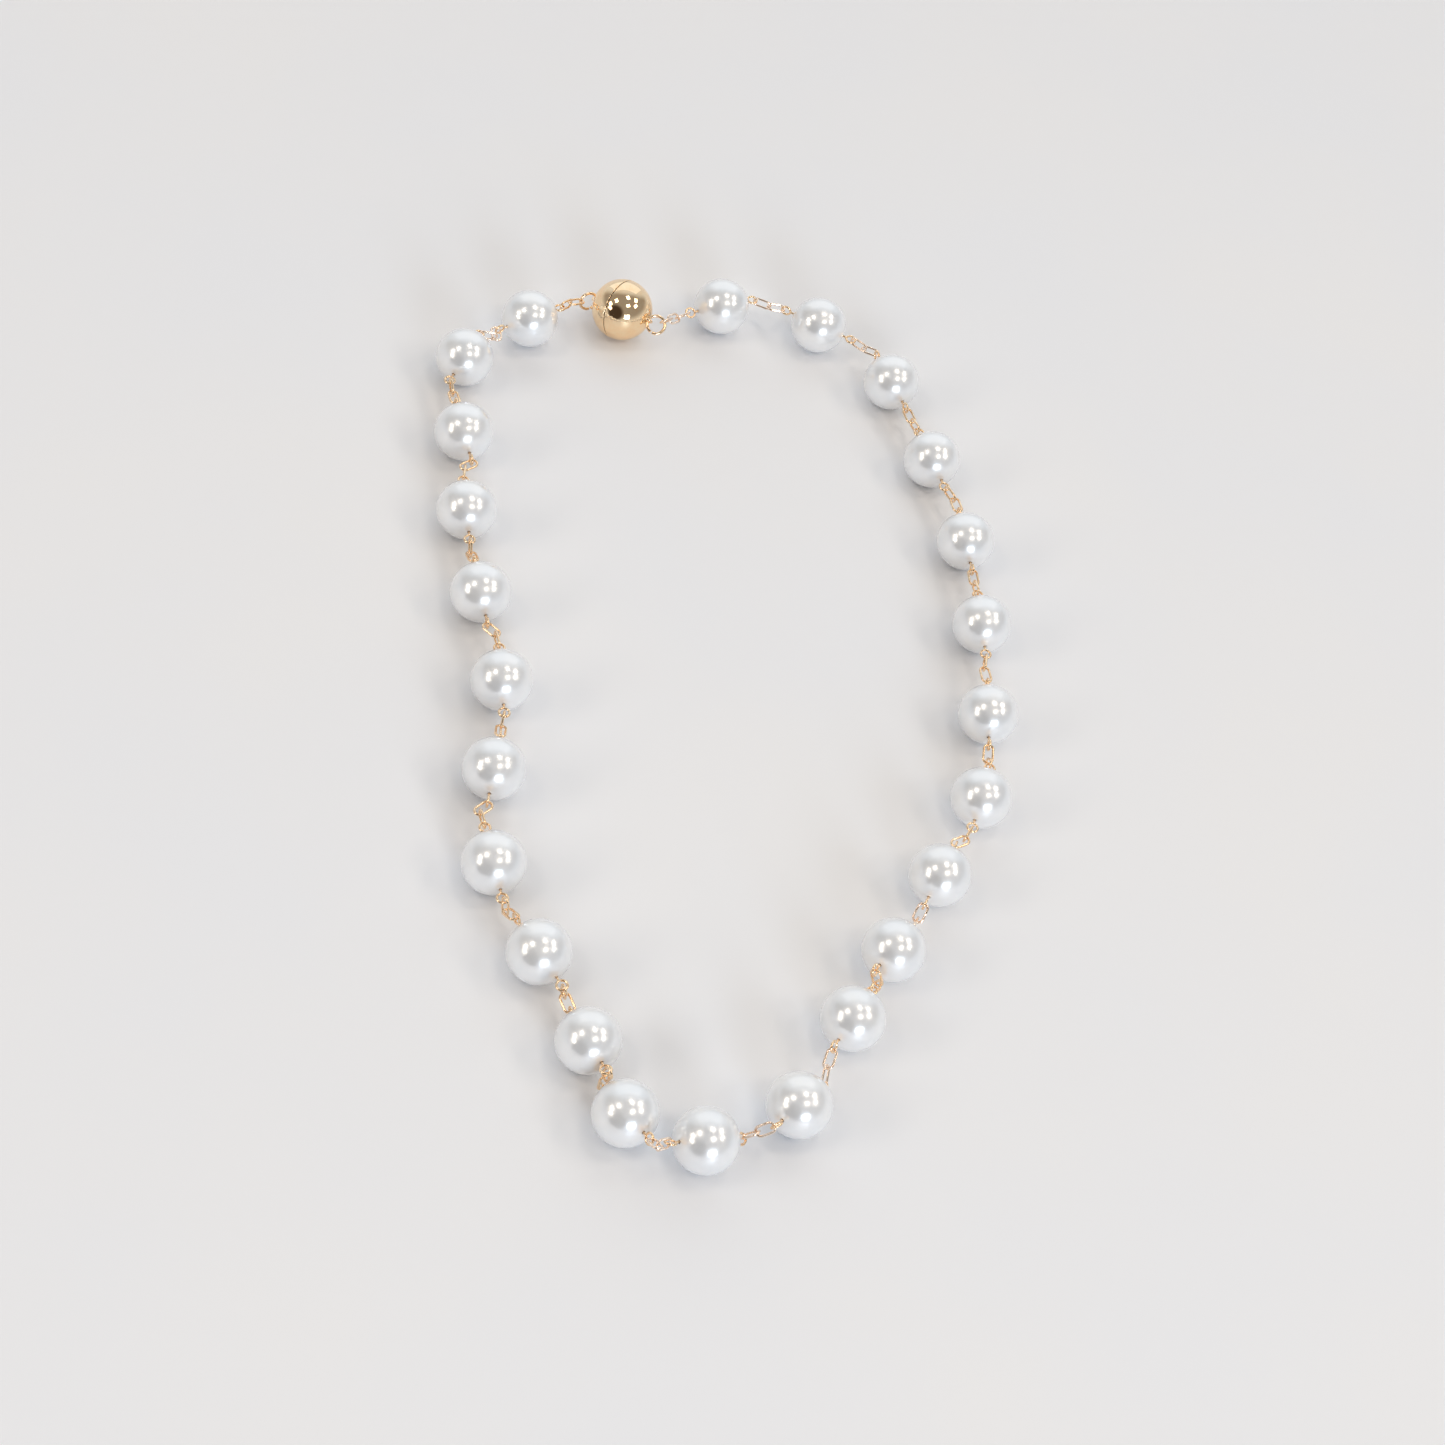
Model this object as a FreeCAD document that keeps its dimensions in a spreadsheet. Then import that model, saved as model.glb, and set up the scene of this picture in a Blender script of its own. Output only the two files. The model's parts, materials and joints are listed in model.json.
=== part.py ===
"""Pearl necklace: beads on eye pins, joined by cable-chain links, closed by a magnetic ball clasp.

The necklace lies closed on a table. +Z is up, z = 0 is the table, the clasp is at the +Y end and
the front centre pearl at the -Y end. Millimetres. Stations are numbered from the clasp's left half,
down the left side, round the front and up the right side to the clasp's right half.

Every wire loop lies in one of two ways. Each gap of chain bends in one plane, whose normal is the
gap's fold axis. A loop that stands across that plane holds the fold axis in its own plane; a loop
that lies in it has the fold axis as its normal. The two kinds alternate along the chain.
"""
import FreeCAD, Part
import Sketcher
import math
import os

from FreeCAD import Matrix, Placement, Rotation, Vector

DIMENSIONS = [
    ("pearl_diameter", 11.0, "outside of every bead"),
    ("bead_hole", 0.6, "drilled hole through a bead"),
    ("drill_over", 1.0, "how far the drill passes the bead's outside on each side"),
    ("wire", 0.45, "wire of the links and of the eyes at the ends of a pin"),
    ("pin_wire", 0.42, "straight part of an eye pin, drawn a little finer than its eyes"),
    ("slack", 0.05, "air between two hooked wires"),
    ("eye_outer", 2.3, "outside of an eye at the end of a pin"),
    ("eye_neck", 0.5, "straight wire between bead and eye"),
    ("link_length", 3.95, "outside length of a chain link"),
    ("link_width", 2.2, "outside width of a chain link"),
    ("clasp_diameter", 12.0, "outside of the closed ball clasp"),
    ("clasp_seam", 0.15, "gap between the two half balls"),
    ("clasp_wall", 0.5, "wall of a half-ball shell"),
    ("clasp_heading", -47.0, "direction of the clasp's axis on the table, left pole to right pole"),
    ("clasp_rise", 16.0, "tilt of that axis above the table"),
    ("face_plate", 0.8, "thickness of the plate in a half ball's mouth"),
    ("magnet_diameter", 7.0, "disc magnet"),
    ("magnet_thickness", 3.0, "disc magnet"),
    ("magnet_recess", 0.05, "magnet's face below the plate's face"),
    ("magnet_bevel", 0.15, "chamfer round both faces of a magnet"),
    ("fit_gap", 0.05, "air round a magnet or a plate"),
    ("clasp_eye_outer", 2.1, "outside of the wire eye on a pole"),
    ("clasp_eye_wire", 0.5, "its wire"),
    ("clasp_eye_stand", 0.35, "its centre above the ball"),
    ("ring_outer", 4.1, "outside of a jump ring"),
    ("ring_wire", 0.6, "its wire"),
    ("ring_slit", 4.0, "angle of the slit in a jump ring, degrees"),
]

# One row for each stretch from pearl to pearl: distance between the centres in millimetres, direction
# on the table in degrees from +X, and how the chain between them folds: to the left or to the right
# of the way it runs, or down.
LAY = [
    (18.0, 218, "left"),
    (19.5, 263, "down"),
    (19.5, 265, "right"),
    (19.5, 271, "down"),
    (20.0, 274, "left"),
    (19.5, 259, "down"),
    (19.5, 263, "right"),
    (18.5, 287, "down"),
    (18.0, 289, "down"),
    (14.0, 287, "right"),
    (13.5, 336, "right"),
    (17.5, 19, "right"),
    (20.0, 52, "left"),
    (16.5, 53, "down"),
    (19.0, 52, "down"),
    (20.0, 55, "right"),
    (19.5, 73, "down"),
    (21.4, 80, "left"),
    (20.5, 86, "down"),
    (21.0, 96, "right"),
    (21.0, 101, "down"),
    (19.5, 129, "left"),
    (20.0, 168, "left"),
]
# The first pearl's centre from the clasp's centre, on the table.
FIRST_FROM_CLASP = (-18.9, -3.0)
# A pin points along the chain before it where that chain folds down, and elsewhere halfway between
# the ways to its two neighbours. Some pins turn from that on the table, or rise above it, in
# degrees, by pearl number.
PIN_TURN = {1: -6, 10: -3, 11: -20, 12: 14, 13: 6, 14: -2, 15: -9, 24: 10}
PIN_RISE = {10: 18, 11: 22, 12: -20, 13: -16, 14: -4, 15: -14}
# The ways from the clasp's two eyes to their jump rings' centres: direction on the table and rise.
LEFT_RING_WAY = (196, -8)
RIGHT_RING_WAY = (-28, -10)

PEARLS = len(LAY) + 1
UP = Vector(0, 0, 1)
# Rounds that settle a gap's chord, hooks and fold axis, which depend on each other.
ROUNDS = 12
# A chord and a pin closer than this, as a sine, count as in line.
IN_LINE = 0.2
# Part of the free room inside an eye that a hooked link may slide, and slack that always stays.
SLIDE = 0.5
SPARE = 0.02
# A fan of links is sought by halving, from a straight row to one opened this far each way, in degrees.
WIDEST_FAN = 120.0
HALVINGS = 60
# Sketcher's numbers for the points of a line or an arc, and for the sketch's own X axis and origin.
START, END, MIDDLE = 1, 2, 3
X_AXIS = -1
ORIGIN = (X_AXIS, START)


def unit(vector):
    return Vector(vector) / vector.Length


def way(heading, rise=0.0):
    """Unit vector from a direction on the table and a rise above it, in degrees."""
    flat = math.cos(math.radians(rise))
    return Vector(flat * math.cos(math.radians(heading)), flat * math.sin(math.radians(heading)),
                  math.sin(math.radians(rise)))


def heading_of(vector):
    """Direction of a vector on the table, in degrees."""
    return math.degrees(math.atan2(vector.y, vector.x))


def square_to(vector, along):
    """The part of a vector that is square to a unit vector, made unit."""
    return unit(vector - along * vector.dot(along))


def frame_at(origin, x_axis, z_axis):
    """Placement whose X and Z axes are the given directions."""
    x = unit(x_axis)
    z = square_to(z_axis, x)
    y = z.cross(x)
    return Placement(Matrix(x.x, y.x, z.x, origin.x, x.y, y.y, z.y, origin.y, x.z, y.z, z.z, origin.z))


def fan(turn, count):
    """Directions spread evenly from turn to minus turn."""
    return [turn * (1 - 2 * number / (count - 1)) for number in range(count)]


def reach_of(spans, heads):
    """How far a row of links reaches along and across."""
    along = sum(span * math.cos(head) for span, head in zip(spans, heads))
    across = sum(span * math.sin(head) for span, head in zip(spans, heads))
    return along, across


def opening(spans, distance):
    """Half the fan of directions that makes links span a distance, in radians."""
    low, high = 0.0, math.radians(WIDEST_FAN)
    for _ in range(HALVINGS):
        middle = (low + high) / 2
        if math.hypot(*reach_of(spans, fan(middle, len(spans)))) > distance:
            low = middle
        else:
            high = middle
    return low


class Sizes:
    """Lengths that follow from the driving dimensions."""

    def __init__(self, cell):
        self.radius = cell["pearl_diameter"] / 2
        self.hooked = cell["wire"] + cell["slack"]
        self.ring_hooked = (cell["wire"] + cell["ring_wire"]) / 2 + cell["slack"]
        self.eye_mean = (cell["eye_outer"] - cell["wire"]) / 2
        self.eye_centre = self.radius + cell["eye_neck"] + cell["eye_outer"] / 2
        self.link_mean = cell["link_length"] - cell["wire"]
        self.ball = cell["clasp_diameter"] / 2
        self.ring_mean = (cell["ring_outer"] - cell["ring_wire"]) / 2
        self.clasp_hook = self.ball + (cell["clasp_eye_stand"] + cell["clasp_eye_outer"] / 2
                                       - cell["clasp_eye_wire"]) / 2
        self.most_ease = 2 * (self.eye_mean - self.hooked) * SLIDE


class Gap:
    """The links between two loops: their places and the axis they fold about.

    The wire at the start stands, so the first link lies, the next stands, and so on.
    """

    def __init__(self, start, end, fold, spans):
        """start and end are hooked wires' centres, spans the distances from hook to hook."""
        chord = unit(end - start)
        self.start = start
        self.fold = square_to(fold, chord)
        side = self.fold.cross(chord)
        self.reach = sum(spans)
        self.chord = (end - start).Length
        turn = opening(spans, self.chord)
        heads = fan(turn, len(spans))
        along, across = reach_of(spans, heads)
        lean = math.atan2(across, along)
        self.bend = math.degrees(turn)
        self.links = []
        at = start
        for number, (head, span) in enumerate(zip(heads, spans)):
            direction = chord * math.cos(head - lean) + side * math.sin(head - lean)
            normal = self.fold if number % 2 == 0 else self.fold.cross(direction)
            self.links.append((at + direction * (span / 2), direction, normal))
            at = at + direction * span


class Necklace:
    """Where every bead, pin, link and ring lies."""

    def __init__(self, cell):
        self.size = Sizes(cell)
        self.place_centres()
        self.axis = way(cell["clasp_heading"], cell["clasp_rise"])
        self.left_ring = self.ring(-self.axis, way(*LEFT_RING_WAY))
        self.right_ring = self.ring(self.axis, way(*RIGHT_RING_WAY))
        self.pins = []
        for number in range(PEARLS):
            self.pins.append(self.pin_way(number))
        self.gaps = [self.first_gap()]
        self.gaps += [self.gap_after(number) for number in range(PEARLS - 1)]
        self.gaps.append(self.last_gap())

    def place_centres(self):
        """Pearls and clasp on the table, with the middle of the pearls' box over the origin."""
        spots = [Vector(FIRST_FROM_CLASP[0], FIRST_FROM_CLASP[1], 0)]
        for distance, heading, _ in LAY:
            spots.append(spots[-1] + way(heading) * distance)
        across = [spot.x for spot in spots]
        along = [spot.y for spot in spots]
        middle = Vector((min(across) + max(across)) / 2, (min(along) + max(along)) / 2, 0)
        self.centres = [spot - middle + UP * self.size.radius for spot in spots]
        self.clasp = UP * self.size.ball - middle

    def ring(self, pole, lean):
        """A jump ring in the eye on a pole: its centre, normal and lean, and the eye's normal."""
        across = unit(pole.cross(lean))
        centre = self.clasp + pole * self.size.clasp_hook + lean * self.size.ring_mean
        return {"centre": centre, "normal": unit(across.cross(lean)), "eye": across, "lean": lean}

    def pin_way(self, number):
        turn = PIN_TURN.get(number + 1, 0)
        rise = PIN_RISE.get(number + 1, 0)
        here = self.centres[number]
        if number > 0 and LAY[number - 1][2] == "down":
            return way(heading_of(here - self.eye_spot(number - 1, 1)) + turn, rise)
        before = self.centres[number - 1] if number > 0 else self.left_ring["centre"]
        after = self.centres[number + 1] if number < PEARLS - 1 else self.right_ring["centre"]
        return way(heading_of(unit(here - before) + unit(after - here)) + turn, rise)

    def eye_spot(self, number, side):
        """Centre of a pin's eye: side is -1 for its first eye and 1 for its second."""
        return self.centres[number] + self.pins[number] * (side * self.size.eye_centre)

    def hook_in(self, number, fold, chord, ease):
        """Where the last link of a chain hooks a pin's first eye, which lies in the fold's plane."""
        pull = square_to(-chord, square_to(fold, self.pins[number]))
        return self.eye_spot(number, -1) + pull * (self.size.eye_mean - self.size.hooked - ease)

    def hook_on(self, number, fold):
        """Where the first link of a chain hooks a pin's second eye, which stands on that plane."""
        return self.eye_spot(number, 1) + square_to(self.pins[number], fold) * self.size.eye_mean

    def ring_hook(self, ring, far):
        """Where a link hooks a jump ring, and the ring's wire's direction there."""
        outward = square_to(far - ring["centre"], ring["normal"])
        return ring["centre"] + outward * self.size.ring_mean, ring["normal"].cross(outward)

    def first_gap(self):
        size = self.size
        reach = 2 * size.link_mean - size.ring_hooked - size.hooked
        end = self.eye_spot(0, -1)
        for _ in range(ROUNDS):
            start, fold = self.ring_hook(self.left_ring, end)
            chord = unit(end - start)
            tight = self.hook_in(0, fold, chord, 0.0)
            ease = self.ease(reach, start, tight, 3)
            end = self.hook_in(0, fold, chord, ease)
        return Gap(start, end, fold, [reach - size.link_mean - 2 * ease, size.link_mean])

    def ease(self, reach, start, end, shares):
        """How far each hook of a slack chain slides when it shares the spare length evenly."""
        spare = reach - (end - start).Length
        return max(0.0, min(spare / shares - SPARE, self.size.most_ease))

    def fold_axis(self, number, chord):
        """Square to the chord and the next pin, or as the lay asks where those two are in line."""
        wish = {"left": UP, "right": -UP, "down": UP.cross(chord)}[LAY[number][2]]
        both = chord.cross(self.pins[number + 1])
        if both.Length < IN_LINE:
            return square_to(wish, chord)
        return unit(both) if both.dot(wish) > 0 else -unit(both)

    def gap_after(self, number):
        size = self.size
        reach = 2 * size.link_mean - 2 * size.hooked
        start = self.eye_spot(number, 1)
        end = self.eye_spot(number + 1, -1)
        for _ in range(ROUNDS):
            chord = unit(end - start)
            fold = self.fold_axis(number, chord)
            start = self.hook_on(number, fold)
            tight = self.hook_in(number + 1, fold, chord, 0.0)
            ease = self.ease(reach, start, tight, 3)
            end = self.hook_in(number + 1, fold, chord, ease)
        return Gap(start, end, fold, [reach - size.link_mean - 2 * ease, size.link_mean])

    def last_gap(self):
        size = self.size
        lying = size.link_mean - 2 * size.hooked
        by_ring = size.link_mean - size.hooked - size.ring_hooked
        start = self.eye_spot(PEARLS - 1, 1)
        for _ in range(ROUNDS):
            end, fold = self.ring_hook(self.right_ring, start)
            start = self.hook_on(PEARLS - 1, fold)
        reach = lying + size.link_mean + by_ring
        ease = self.ease(reach, start, end, 4)
        return Gap(start, end, fold, [lying - 2 * ease, size.link_mean, by_ring - 2 * ease])

    def eye_normals(self, number):
        """Normals of a pin's two eyes: the first lies in its gap's fold plane, the second stands."""
        pin = self.pins[number]
        return square_to(self.gaps[number].fold, pin), unit(pin.cross(self.gaps[number + 1].fold))


class Builder:
    """Makes document objects whose sizes are bound to the sheet."""

    def __init__(self, doc, sheet):
        self.doc = doc
        self.sheet = sheet
        self.nodes = []

    def bind(self, thing, **formulas):
        for name, formula in formulas.items():
            thing.setExpression(name, self.with_sheet(formula))
        return thing

    def with_sheet(self, formula):
        words = []
        for word in formula.split():
            bare = word.strip("()")
            words.append(word.replace(bare, "Dimensions." + bare) if bare in self.sheet else word)
        return " ".join(words)

    def make(self, kind, name, **formulas):
        return self.bind(self.doc.addObject(kind, name), **formulas)

    def fuse(self, name, pieces):
        joined = self.doc.addObject("Part::MultiFuse", name)
        joined.Shapes = pieces
        joined.Refine = False
        return joined

    def node(self, thing, label, solids=1):
        thing.Label = label
        self.nodes.append((thing, solids))
        return thing


def round_wire(build, name, mean, wire, placement, sweep=None):
    """A ring of round wire about the placement's Z axis."""
    torus = build.make("Part::Torus", name, Radius1=mean, Radius2=wire)
    if sweep:
        build.bind(torus, Angle3=sweep)
    torus.Placement = placement
    return torus


def bead(build, number, centre, pin):
    """A round bead with a drilled hole along its pin."""
    tag = "pearl_%02d" % number
    ball = build.make("Part::Sphere", tag + "_ball", Radius="pearl_diameter / 2")
    drill = build.make("Part::Cylinder", tag + "_drill", Radius="bead_hole / 2",
                       Height="pearl_diameter + 2 * drill_over")
    build.bind(drill, **{"Placement.Base.z": "( pearl_diameter + 2 * drill_over ) / -2"})
    cut = build.doc.addObject("Part::Cut", tag)
    cut.Base = ball
    cut.Tool = drill
    cut.Placement = frame_at(centre, square_to(UP, pin), pin)
    build.node(cut, tag)


def link(build, name, centre, direction, normal):
    """An oval link of round wire: two half rings and two straight sides."""
    bow = "( link_width - wire ) / 2"
    half_side = "( link_length - link_width ) / 2"
    pieces = []
    for end, turn in ((1, -90), (-1, 90)):
        half = build.make("Part::Torus", "%s_bow_%d" % (name, len(pieces)),
                          Radius1=bow, Radius2="wire / 2")
        half.Angle3 = 180
        half.Placement = Placement(Vector(0, 0, 0), Rotation(UP, turn))
        build.bind(half, **{"Placement.Base.x": "%s * %d" % (half_side, end)})
        pieces.append(half)
    for side in (1, -1):
        bar = build.make("Part::Cylinder", "%s_side_%d" % (name, len(pieces)), Radius="wire / 2",
                         Height="link_length - link_width")
        bar.Placement = Placement(Vector(0, 0, 0), Rotation(Vector(0, 1, 0), 90))
        build.bind(bar, **{"Placement.Base.x": "%s * -1" % half_side,
                           "Placement.Base.y": "%s * %d" % (bow, side)})
        pieces.append(bar)
    whole = build.fuse(name, pieces)
    whole.Placement = frame_at(centre, direction, normal)
    return whole


def eye_pin(build, name, centre, pin, normals, size):
    """A straight wire through a bead, closed into a round eye at each end."""
    rod = build.make("Part::Cylinder", name + "_rod", Radius="pin_wire / 2",
                     Height="pearl_diameter + ( eye_neck + wire / 2 ) * 2")
    rod.Placement = frame_at(pin * (size.eye_mean - size.eye_centre), square_to(UP, pin), pin)
    eyes = []
    for side, normal in zip((-1, 1), normals):
        spot = frame_at(pin * (side * size.eye_centre), pin, normal)
        eyes.append(round_wire(build, "%s_eye_%d" % (name, len(eyes)),
                               "( eye_outer - wire ) / 2", "wire / 2", spot))
    whole = build.fuse(name, [rod] + eyes)
    whole.Placement = Placement(centre, Rotation())
    return whole


def station(build, number, lay):
    """An eye pin and the links on its first side: one moving piece of the chain."""
    tag = "pin_and_links_%02d" % (number + 1)
    pin = eye_pin(build, tag + "_pin", lay.centres[number], lay.pins[number],
                  lay.eye_normals(number), lay.size)
    links = [link(build, "%s_link_%d" % (tag, count), *spot)
             for count, spot in enumerate(lay.gaps[number].links)]
    group = build.doc.addObject("Part::Compound", tag)
    group.Links = [pin] + links
    build.node(group, tag, solids=1 + len(links))


def sketch_of(body, name, lines):
    """A closed sketch on the body's own XY plane."""
    sketch = body.newObject("Sketcher::SketchObject", name)
    plane = next(item for item in body.Origin.OriginFeatures if item.Role == "XY_Plane")
    sketch.AttachmentSupport = [(plane, "")]
    sketch.MapMode = "FlatFace"
    for shape in lines:
        sketch.addGeometry(shape, False)
    return sketch


def named_rule(sketch, name, *rule):
    """A sketch dimension that can be bound by its name."""
    sketch.addConstraint(Sketcher.Constraint(*rule))
    sketch.renameConstraint(sketch.ConstraintCount - 1, name)


def revolve(body, sketch, name):
    """One full turn of a sketch about the body's own X axis."""
    turned = body.newObject("PartDesign::Revolution", name)
    turned.Profile = sketch
    axis = next(item for item in body.Origin.OriginFeatures if item.Role == "X_Axis")
    turned.ReferenceAxis = (axis, [""])
    turned.Angle = 360
    return turned


def half_shell(build, side, placement, cell):
    """A hollow half ball about +X, open at the seam, turned from two arcs."""
    name = "clasp_shell_" + side
    body = build.doc.addObject("PartDesign::Body", name)
    outer = cell["clasp_diameter"] / 2
    inner = outer - cell["clasp_wall"]
    edge = cell["clasp_seam"] / 2
    origin = Vector(0, 0, 0)
    rim = math.sqrt(outer ** 2 - edge ** 2)
    mouth = math.sqrt(inner ** 2 - edge ** 2)
    lines = [
        Part.ArcOfCircle(Part.Circle(origin, UP, outer), 0, math.atan2(rim, edge)),
        Part.LineSegment(Vector(edge, rim, 0), Vector(edge, mouth, 0)),
        Part.ArcOfCircle(Part.Circle(origin, UP, inner), 0, math.atan2(mouth, edge)),
        Part.LineSegment(Vector(inner, 0, 0), Vector(outer, 0, 0)),
    ]
    sketch = sketch_of(body, name + "_profile", lines)
    outside, lip, inside, pole = range(len(lines))
    for first, second in (((outside, MIDDLE), ORIGIN), ((inside, MIDDLE), ORIGIN),
                          ((outside, END), (lip, START)), ((lip, END), (inside, END)),
                          ((inside, START), (pole, START)), ((pole, END), (outside, START))):
        sketch.addConstraint(Sketcher.Constraint("Coincident", *first, *second))
    sketch.addConstraint(Sketcher.Constraint("PointOnObject", pole, START, X_AXIS))
    sketch.addConstraint(Sketcher.Constraint("Horizontal", pole))
    sketch.addConstraint(Sketcher.Constraint("Vertical", lip))
    named_rule(sketch, "outer", "Radius", outside, outer)
    named_rule(sketch, "inner", "Radius", inside, inner)
    named_rule(sketch, "edge", "DistanceX", *ORIGIN, lip, START, edge)
    build.bind(sketch, **{"Constraints.outer": "clasp_diameter / 2",
                          "Constraints.inner": "clasp_diameter / 2 - clasp_wall",
                          "Constraints.edge": "clasp_seam / 2"})
    revolve(body, sketch, name + "_turned")
    body.Placement = placement
    build.node(body, name)


def face_plate(build, side, placement, cell):
    """A flat washer in the half ball's mouth that holds the magnet."""
    name = "clasp_face_plate_" + side
    inner = cell["clasp_diameter"] / 2 - cell["clasp_wall"]
    deep = cell["clasp_seam"] / 2 + cell["face_plate"]
    body = build.doc.addObject("PartDesign::Body", name)
    plane = next(item for item in body.Origin.OriginFeatures if item.Role == "YZ_Plane")
    sketch = body.newObject("Sketcher::SketchObject", name + "_profile")
    sketch.AttachmentSupport = [(plane, "")]
    sketch.MapMode = "FlatFace"
    rim = math.sqrt(inner ** 2 - deep ** 2) - cell["fit_gap"]
    hole = cell["magnet_diameter"] / 2 + cell["fit_gap"]
    for count, (rule, radius) in enumerate((("rim", rim), ("hole", hole))):
        sketch.addGeometry(Part.Circle(Vector(0, 0, 0), UP, radius), False)
        sketch.addConstraint(Sketcher.Constraint("Coincident", count, MIDDLE, *ORIGIN))
        named_rule(sketch, rule, "Radius", count, radius)
    build.bind(sketch, **{
        "Constraints.rim": "sqrt( ( clasp_diameter / 2 - clasp_wall ) ^ 2"
                           " - ( clasp_seam / 2 + face_plate ) ^ 2 ) - fit_gap",
        "Constraints.hole": "magnet_diameter / 2 + fit_gap"})
    build.bind(sketch, **{"AttachmentOffset.Base.z": "clasp_seam / 2"})
    pad = body.newObject("PartDesign::Pad", name + "_pad")
    pad.Profile = sketch
    build.bind(pad, Length="face_plate")
    body.Placement = placement
    build.node(body, name)


def magnet(build, side, placement, cell):
    """A disc magnet, its face just below the plate's face."""
    name = "clasp_magnet_" + side
    disc = build.make("Part::Cylinder", name + "_disc", Radius="magnet_diameter / 2",
                      Height="magnet_thickness")
    disc.Placement = Placement(Vector(0, 0, 0), Rotation(Vector(0, 1, 0), 90))
    build.bind(disc, **{"Placement.Base.x": "clasp_seam / 2 + magnet_recess"})
    edge = build.doc.addObject("Part::Chamfer", name)
    edge.Base = disc
    build.doc.recompute()
    bevel = cell["magnet_bevel"]
    edge.Edges = [(count, bevel, bevel)
                  for count, item in enumerate(disc.Shape.Edges, start=1) if item.Closed]
    edge.Placement = placement
    build.node(edge, name)


def clasp_eye(build, side, lay, ring, pole):
    """A wire eye soldered on a pole: a ring cut off where it meets the ball."""
    name = "clasp_eye_" + side
    stand = "clasp_diameter / 2 + clasp_eye_stand"
    loop = round_wire(build, name + "_loop", "( clasp_eye_outer - clasp_eye_wire ) / 2",
                      "clasp_eye_wire / 2", Placement())
    build.bind(loop, **{"Placement.Base.x": stand})
    ball = build.make("Part::Sphere", name + "_ball", Radius="clasp_diameter / 2")
    cut = build.doc.addObject("Part::Cut", name)
    cut.Base = loop
    cut.Tool = ball
    cut.Placement = frame_at(lay.clasp, pole, ring["eye"])
    build.node(cut, name)


def jump_ring(build, side, ring):
    """An open ring of round wire; its slit is away from what hangs on it."""
    name = "jump_ring_" + side
    slit_way = ring["normal"].cross(ring["lean"])
    spot = frame_at(ring["centre"], slit_way, ring["normal"])
    torus = round_wire(build, name, "( ring_outer - ring_wire ) / 2", "ring_wire / 2", spot,
                       "360 - ring_slit")
    build.node(torus, name)


def end_links(build, lay):
    """The links between the last pearl and the right jump ring."""
    tag = "end_links_right"
    links = [link(build, "%s_%d" % (tag, count), *spot)
             for count, spot in enumerate(lay.gaps[-1].links)]
    group = build.doc.addObject("Part::Compound", tag)
    group.Links = links
    build.node(group, tag, solids=len(links))


def fill_sheet(doc):
    sheet = doc.addObject("Spreadsheet::Sheet", "Dimensions")
    for row, (alias, value, note) in enumerate(DIMENSIONS, start=1):
        sheet.set("A%d" % row, alias.replace("_", " "))
        sheet.set("B%d" % row, repr(value))
        sheet.setAlias("B%d" % row, alias)
        sheet.set("C%d" % row, note)
    doc.recompute()
    return {alias: float(sheet.get(alias)) for alias, _, _ in DIMENSIONS}


def check_and_export(build):
    """Every object must be up to date and every node valid before anything is written."""
    for thing in build.doc.Objects:
        if "Invalid" in thing.State or "Error" in thing.State:
            raise RuntimeError("%s failed: %s" % (thing.Name, thing.State))
    for thing, solids in build.nodes:
        shape = thing.Shape
        if shape.isNull() or not shape.isValid() or len(shape.Solids) != solids:
            raise RuntimeError("%s is not %d valid solids" % (thing.Label, solids))
    os.makedirs("parts", exist_ok=True)
    for thing, _ in build.nodes:
        thing.Shape.exportStep("parts/%s.step" % thing.Label)


def main():
    doc = FreeCAD.newDocument("PearlNecklace")
    cell = fill_sheet(doc)
    lay = Necklace(cell)
    build = Builder(doc, cell)
    for side, pole, ring in (("left", -lay.axis, lay.left_ring), ("right", lay.axis, lay.right_ring)):
        spot = frame_at(lay.clasp, pole, UP)
        half_shell(build, side, spot, cell)
        face_plate(build, side, spot, cell)
        magnet(build, side, spot, cell)
        clasp_eye(build, side, lay, ring, pole)
        jump_ring(build, side, ring)
    for number in range(PEARLS):
        bead(build, number + 1, lay.centres[number], lay.pins[number])
        station(build, number, lay)
    end_links(build, lay)
    doc.recompute()
    check_and_export(build)
    for number, gap in enumerate(lay.gaps):
        print("gap %2d  links reach %.2f  fan %.1f degrees" % (number, gap.reach, gap.bend))
    print("%d nodes" % len(build.nodes))


if __name__ == "__main__":
    main()
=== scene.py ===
"""Looks of the pearl necklace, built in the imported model's own frame. Metres.

Beads, pins, links, rings and the clasp's half balls are swept or turned here at full roundness, each
exactly where its CAD solid lies: bead centres and pin directions come from the spin joints, the rest
from the shape of the CAD meshes. Plates and magnets inside the clasp are the CAD solids themselves.
"""
import json
import math

import bmesh
import bpy
import numpy as np
from mathutils import Matrix, Vector

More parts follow.
